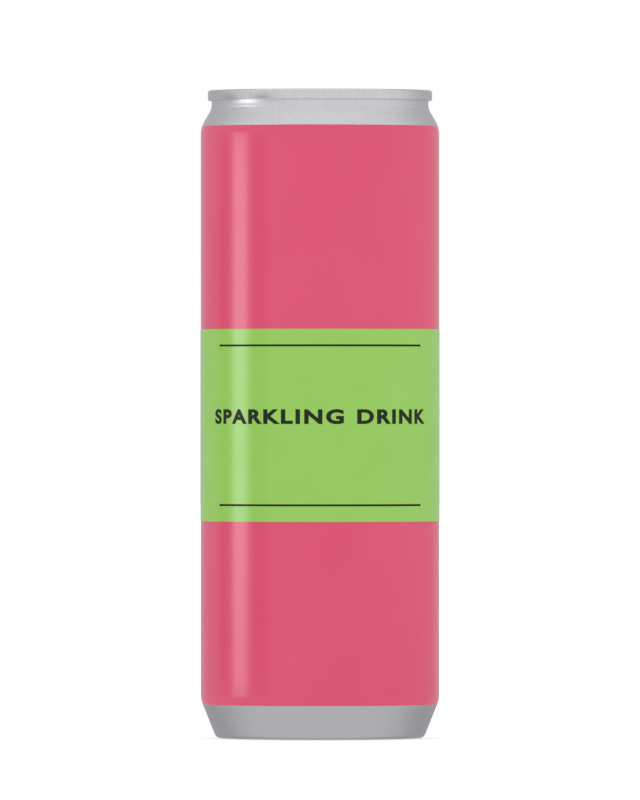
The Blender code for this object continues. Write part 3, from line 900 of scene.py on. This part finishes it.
def makeLabelFilm(film):
    # a thin wall carried round the can, its end over its start: radius + thickness * step at the overlap
    look = labelLook
    thick, ease, rows = look["thickness"], look["edgeEase"], look["rowsUp"]
    half = math.degrees(look["overlap"] / filmInside) / 2
    climb = 180 - half + np.array(look["climb"])
    angles = np.sort(np.concatenate([np.linspace(-180 - half, 180 + half, look["columnsAround"]), climb]))
    lift = thick * look["lift"] * smoothStep(angles, climb[0], climb[-1])
    z = np.linspace(labelLow[2], labelHigh[2], rows)
    section = np.vstack([
        np.stack([np.full(rows, thick), z], axis=1), [(thick - ease, labelHigh[2] + ease)],
        np.stack([np.zeros(rows), z[::-1]], axis=1), [(thick - ease, labelLow[2] - ease)]])
    points = rolledRound(filmInside + section[None, :, 0] + lift[:, None], np.radians(angles)[:, None],
                         section[None, :, 1])
    addPiece("wrap_label_film", [grid(points, wrapColumns=True, caps=True)],
             [film], "can", ["wrap_label"])


ruleLook = {
    "span": 56.8,  # degrees either side of the front
    "thick": 0.48,
    "inset": 3.95,
    "proud": 0.03,
    "sunk": 0.01,
    "steps": 160,
}
letterLook = {
    "words": "SPARKLING DRINK",  # plain words for what is inside
    "capHeight": 3.58,
    "halfSpan": 60.6,  # degrees either side of the front
    "middle": 77.23,
    "stroke": 0.041,  # how far each outline is moved out, in ems
    "spacing": 1.2,
    "proud": 0.035,
    "sunk": 0.01,
    "cutEvery": 0.5,  # mm between the cuts that let the letters bend round the can
    "curveSteps": 8,
}


def makeRules(ink):  # two thin bars carried round the front: a rectangle swept over an arc
    look = ruleLook
    turn = np.radians(np.linspace(-look["span"], look["span"], look["steps"]))[:, None]
    half, proud, sunk = look["thick"] / 2, look["proud"], look["sunk"]
    section = np.array([(-sunk, -half), (proud, -half), (proud, half), (-sunk, half)])
    for name, z in (("upper", labelHigh[2] - look["inset"]), ("lower", labelLow[2] + look["inset"])):
        points = rolledRound(filmOutside + section[None, :, 0] + 0 * turn, turn, z + section[None, :, 1])
        addPiece("label_rule_" + name, [grid(points, wrapColumns=True, caps=True)],
                 [ink], "can")


def makeLettering(ink):
    # flat letters cut into narrow strips, then rolled up: angle = x / radius, radius = film + height
    look = letterLook
    deep = 0.5  # of the flat letters, before they are thinned to the ink
    text = bpy.data.curves.new("lettering_outline", "FONT")
    text.body = look["words"]
    text.align_x = "CENTER"
    text.offset = look["stroke"]
    text.extrude = deep
    text.space_character = look["spacing"]
    text.resolution_u = look["curveSteps"]
    holder = bpy.data.objects.new("lettering_outline", text)
    bpy.context.scene.collection.objects.link(holder)
    mesh = bpy.data.meshes.new_from_object(holder)
    bpy.data.objects.remove(holder)

    work = bmesh.new()
    work.from_mesh(mesh)
    points = np.array([vertex.co[:] for vertex in work.verts])
    low, high = points.min(0), points.max(0)
    middle = (low + high) / 2
    width = 2 * math.radians(look["halfSpan"]) * filmOutside
    wide, tall = width / (high[0] - low[0]), look["capHeight"] / (high[1] - low[1])
    bmesh.ops.remove_doubles(work, verts=work.verts, dist=1e-5)
    for x in np.arange(-width / 2, width / 2, look["cutEvery"]):
        everything = work.verts[:] + work.edges[:] + work.faces[:]
        bmesh.ops.bisect_plane(work, geom=everything, dist=1e-6, plane_co=(x / wide + middle[0], 0, 0),
                               plane_no=(1, 0, 0))
    bmesh.ops.triangulate(work, faces=work.faces)
    work.to_mesh(mesh)
    work.free()

    flat = np.empty(len(mesh.vertices) * 3)
    mesh.vertices.foreach_get("co", flat)
    flat = flat.reshape(-1, 3)
    turn = (flat[:, 0] - middle[0]) * wide / filmOutside
    radius = filmOutside + (flat[:, 2] + deep) * (look["proud"] + look["sunk"]) - look["sunk"]
    rolled = rolledRound(radius, turn, look["middle"] + (flat[:, 1] - middle[1]) * tall) * mm
    mesh.vertices.foreach_set("co", rolled.ravel())
    weldAndTurn(mesh)
    finishPiece("label_lettering", mesh, [ink], "can")


drinkLook = {
    "colours": ("#e87884", "#e06c7a"),
    "swirlSize": 12.0,
    "clearance": 0.3,  # mm to the metal all round
    "meniscus": 0.8,
    "meniscusReach": 1.1,
    "wallRows": (140, 12),  # heights of the first and last even row down the wall
    "footCentre": (23.85, 1.5),  # the bend into the standing ring
    "footBend": 1.0,
    "taperTurn": 24.0,  # degrees that the taper leans
    "crownEdge": 22.55,  # where the hollow over the dome starts
    "segments": 160,
    "bubbles": 210,
    "bubbleSizes": (0.22, 0.6),  # mm, the smallest radius and how much the rarest ones have over it
    "wallShare": 0.75,  # of the bubbles, and how far these stand from the wall
    "wallGap": 0.5,
    "openGaps": (2, 22),  # the others lie this far from the wall, and up to this much further
    "seed": 7,
    "openLevel": 133.1,  # mm, where the level has fallen to when the tear panel hangs down
}


def drinkMaterial():
    # clear pink soft drink: lets light in, and has water's sharp shine on top
    return mottledMaterial("clear_pink_soft_drink", (drinkLook["swirlSize"],) * 3, drinkLook["colours"],
                           (0.02, 0.05), IOR=1.34, Transmission_Weight=0.3)[0]


def lowerWithPanel(piece):  # gives the piece a mesh of its own
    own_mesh(piece)


def makeDrink(liquid):  # the body's inside filled to its level, with a meniscus of rise * exp(-gap / reach)
    look = drinkLook
    inset = sheet + look["clearance"]
    side = bodyRadius - inset
    bend = bodyLook["wallBend"] + sheet / 2 - inset
    gap = np.concatenate([[side - 0.02], np.linspace(side - 1, 5.0, 10), np.linspace(4.5, 0.0, 24)])
    rise = look["meniscus"] * np.exp(-gap / look["meniscusReach"])
    surface = np.stack([side - gap, drinkLevel + rise], axis=1)
    surface[0, 0] = 0
    crownFoot = (look["crownEdge"], look["footCentre"][1])
    high, low = look["wallRows"]
    walls = joinLines(surface, [(side, bodyLook["wallTop"])], np.linspace((side, high), (side, low), 20),
                      arcLine((side - bend, bodyLook["wallBottom"]), bend, 0, -look["taperTurn"], 8),
                      arcLine(look["footCentre"], look["footBend"], -look["taperTurn"], -90, 6), [crownFoot])
    crownRadius = bodyLook["domeRadius"] + sheet / 2 + look["clearance"]
    crownCentre = (0.0, bodyLook["domeHeight"] + sheet / 2 - bodyLook["domeRadius"])
    crownStart = math.degrees(math.acos(look["crownEdge"] / crownRadius))
    crown = arcLine(crownCentre, crownRadius, crownStart, 90, 16)
    crown[-1, 0] = 0
    filled = turned(joinLines(walls, crown), look["segments"])
    lowerWithPanel(addPiece("drink_fill", [grid(filled, wrapColumns=True)], [liquid], "can",
                            ["drink"]))


def makeBubbles(liquid):  # small spheres half under the surface, most of them in a ring along the wall
    look = drinkLook
    chance = np.random.default_rng(look["seed"])
    count = look["bubbles"]
    smallest, more = look["bubbleSizes"]
    nearest, further = look["openGaps"]
    size = smallest + more * chance.random(count) ** 3
    fromWall = np.where(chance.random(count) < look["wallShare"],
                        size * 1.1 + look["wallGap"] * chance.random(count),
                        nearest + further * chance.random(count))
    radius = bodyRadius - sheet - look["clearance"] - fromWall
    turn = 2 * np.pi * chance.random(count)
    rise = look["meniscus"] * np.exp(-fromWall / look["meniscusReach"])
    up = np.linspace(0, np.pi, 7)[:, None]
    around = fullTurn(10)[None, :]
    ball = np.stack([np.sin(up) * np.cos(around), np.sin(up) * np.sin(around),
                     np.cos(up) + 0 * around], axis=-1)
    centres = np.stack([radius * np.cos(turn), radius * np.sin(turn), drinkLevel + rise + 0.1 * size], axis=1)
    balls = [grid(centre + reach * ball, wrapColumns=True) for centre, reach in zip(centres, size)]
    lowerWithPanel(addPiece("drink_bubbles", balls, [liquid], "can"))


studioLook = {  # lengths in metres
    "cameraDistance": 4.0,
    "cameraHeight": 0.0812,
    "viewHeight": 0.1923077,  # what the long side of the view spans at the can's axis
    "cameraReach": (0.05, 50),
    "world": 1.0,
    "floorRadius": 9.0,
    "floorDrop": 0.0001,
    "floorColour": "#e6e6e6",
    "floorGlow": 0.4,
    "stripTurn": 84.0,  # degrees from the front towards the left
    "stripWidth": 0.11,
    "stripHeight": 0.158,
    "stripMiddle": 0.079,
    "stripPower": 0.158,
    "cardDistance": 0.34,  # how far the light and the cards stand from the can
    "flagTurn": 22.0,  # degrees either side of the light
    "flagHalf": 0.055,
    "flagFoot": 0.004,
    "flagTop": 0.154,
    "flagGrey": 0.2,
    "tentRadius": 2.5,
    "tentFront": 0.85,  # how bright the tent is towards the camera, behind the can and overhead
    "tentBack": 0.52,
    "tentTop": 0.95,
    "tentDepths": (-0.2, 0.75),  # where front passes into back and side into top, in radii
    "tentHeights": (0.3, 0.95),
}


def makeCamera():  # level, square on to the front, with a long lens: focal length = sensor * distance / view
    look = studioLook
    lens = bpy.data.cameras.new("front_camera")
    lens.lens = lens.sensor_width * look["cameraDistance"] / look["viewHeight"]
    lens.clip_start, lens.clip_end = look["cameraReach"]
    camera = bpy.data.objects.new("front_camera", lens)
    camera.location = (0, -look["cameraDistance"], look["cameraHeight"])
    camera.rotation_euler = (math.pi / 2, 0, 0)
    bpy.context.scene.collection.objects.link(camera)
    bpy.context.scene.camera = camera


def studioPlace(turn, distance):  # a point out along the ray that the can's wall mirrors to the camera
    lean = math.radians(turn / 2)
    start = np.array([-math.sin(lean), -math.cos(lean)]) * bodyRadius * mm
    out = np.array([-math.sin(math.radians(turn)), -math.cos(math.radians(turn))])
    return start + out * distance


def addStage(name, mesh, material, hidden):  # a studio thing that these kinds of ray don't see
    mesh.materials.append(material)
    thing = bpy.data.objects.new(name, mesh)
    for ray in hidden:
        setattr(thing, "visible_" + ray, False)
    bpy.context.scene.collection.objects.link(thing)


def makeFloor():  # a wide pale disc with a faint glow of its own, so that it runs into the white behind
    look = studioLook
    sides, rings = 96, 41
    turn = fullTurn(sides)
    radius = np.concatenate([[0], np.geomspace(0.02, look["floorRadius"], rings - 1)])[:, None]
    level = 0 * radius * turn - look["floorDrop"]
    points = np.stack([radius * np.cos(turn), radius * np.sin(turn), level], axis=-1)
    mesh = bpy.data.meshes.new("studio_floor")
    mesh.from_pydata(points.reshape(-1, 3).tolist(), [], gridFaces(rings, sides, False, True).tolist())
    weldAndTurn(mesh)
    if mesh.polygons[0].normal.z < 0:
        mesh.flip_normals()
    made, tree, shader = newMaterial("matt_white_studio_floor", Roughness=0.9)
    setInputs(tree, shader, {
        "Base Color": linearColour(look["floorColour"]), "Emission Color": linearColour("#ffffff"),
        "Emission Strength": look["floorGlow"]})
    addStage("studio_floor", mesh, made, ["glossy"])


def makeTent():
    # a round light tent, seen only in the gloss: greyer behind the can, so that metal shows its shape
    look, radius = studioLook, studioLook["tentRadius"]
    rings, sides = 33, 64
    up, turn = np.linspace(-np.pi / 2, np.pi / 2, rings)[:, None], fullTurn(sides)
    points = radius * np.stack([np.cos(up) * np.cos(turn), np.cos(up) * np.sin(turn), np.sin(up) + 0 * turn],
                               axis=-1)
    mesh = bpy.data.meshes.new("light_tent")
    mesh.from_pydata(points.reshape(-1, 3).tolist(), [], gridFaces(rings, sides, False, True).tolist())
    weldAndTurn(mesh)
    made, tree, shader = newMaterial("white_nylon_light_tent", Roughness=1.0)
    place = addNode(tree, "TexCoord")
    spot = addNode(tree, "SeparateXYZ", {"Vector": (place, "Object")})
    near, far = look["tentDepths"]
    across = addNode(tree, "MapRange", {
        "Value": (spot, "Y"), "From Min": near * radius, "From Max": far * radius,
        "To Min": look["tentFront"], "To Max": look["tentBack"]}, interpolation_type="SMOOTHSTEP")
    low, high = look["tentHeights"]
    above = addNode(tree, "MapRange", {
        "Value": (spot, "Z"), "From Min": low * radius, "From Max": high * radius,
        "To Max": look["tentTop"]}, interpolation_type="SMOOTHSTEP")
    glow = addNode(tree, "Math", {0: (across, "Result"), 1: (above, "Result")}, operation="MAXIMUM")
    setInputs(tree, shader, {
        "Base Color": linearColour("#000000"), "Emission Color": linearColour("#ffffff"),
        "Emission Strength": (glow, "Value")})
    made.cycles.emission_sampling = "NONE"
    addStage("light_tent", mesh, made, ["camera", "diffuse", "shadow", "transmission"])


def makeStripLight(lit):  # a tall softbox at the left, seen only in the gloss of the printed pieces
    look = studioLook
    box = bpy.data.lights.new("strip_softbox", "AREA")
    box.shape = "RECTANGLE"
    box.size, box.size_y = look["stripWidth"], look["stripHeight"]
    box.energy = look["stripPower"]
    lamp = bpy.data.objects.new("strip_softbox", box)
    x, y = studioPlace(look["stripTurn"], look["cardDistance"])
    lamp.location = (x, y, look["stripMiddle"])
    lamp.rotation_euler = (math.pi / 2, 0, math.atan2(x, -y))
    lamp.visible_camera = lamp.visible_diffuse = lamp.visible_shadow = False
    bpy.context.scene.collection.objects.link(lamp)
    receivers = bpy.data.collections.new("printed_pieces")
    for piece in lit:
        receivers.objects.link(piece)
    lamp.light_linking.receiver_collection = receivers


def makeFlags():  # two grey cards beside the softbox, which edge its reflection a little darker
    look = studioLook
    made, tree, shader = newMaterial("grey_flag_card", Roughness=1.0)
    shader.inputs["Base Color"].default_value = (look["flagGrey"],) * 3 + (1.0,)
    for name, side in (("near", -1), ("far", 1)):
        x, y = studioPlace(look["stripTurn"] + side * look["flagTurn"], look["cardDistance"])
        across = np.array([-y, x]) / math.hypot(x, y) * look["flagHalf"]
        corners = [(x + end * across[0], y + end * across[1], look[height])
                   for end, height in ((-1, "flagFoot"), (1, "flagFoot"), (1, "flagTop"), (-1, "flagTop"))]
        mesh = bpy.data.meshes.new("flag_" + name)
        mesh.from_pydata(corners, [], [(0, 1, 2, 3)])
        addStage("flag_" + name, mesh, made, ["camera", "diffuse", "shadow"])


def makeStudio(lit):
    world = bpy.data.worlds.new("white_room")
    world.use_nodes = True
    background = world.node_tree.nodes["Background"]
    background.inputs["Color"].default_value = (1, 1, 1, 1)
    background.inputs["Strength"].default_value = studioLook["world"]
    bpy.context.scene.world = world
    bpy.context.scene.view_settings.view_transform = "Standard"
    makeFloor()
    makeTent()
    makeStripLight(lit)
    makeFlags()


def main():
    makeCamera()
    metal = metalLook
    rolled = (metal["grainWidth"], metal["grainLength"], metal["grainThrough"])
    endMetal = sheetMetalMaterial("clear_lacquered_rolled_aluminium", (metal["neck"], metal["endShade"]),
                                  rolled, 0.3)
    tabMetal = sheetMetalMaterial("bright_rolled_aluminium", (metal["tab"], metal["tabShade"]),
                                  rolled, 0.24, shift=5.3)
    rivetMetal = sheetMetalMaterial("coined_aluminium", (metal["neck"], metal["rivetShade"]),
                                    (metal["coinedGrain"],) * 3, 0.2)
    ink, liquid = inkMaterial(), drinkMaterial()
    print("materials made")
    makeBody(printedBodyMaterial(), liningMaterial(), domeMaterial())
    print("drawn body made")
    makeEnd(endMetal)
    makeRivet(rivetMetal)
    makeTearPanel(endMetal)
    print("seamed end and tear panel made")
    makeTab(tabMetal)
    makeTongue(tabMetal)
    print("pull tab made")
    makeLabelFilm(labelFilmMaterial())
    makeRules(ink)
    makeLettering(ink)
    print("label made")
    makeDrink(liquid)
    makeBubbles(liquid)
    compound = compoundMaterial()
    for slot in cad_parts["seam_compound"].material_slots:
        slot.material = compound
    print("drink and sealing compound made")
    printedNames = ("drawn_can_body", "wrap_label_film", "label_rule_upper", "label_rule_lower",
                    "label_lettering")
    makeStudio([bpy.data.objects[name] for name in printedNames])
    print("studio made")


main()
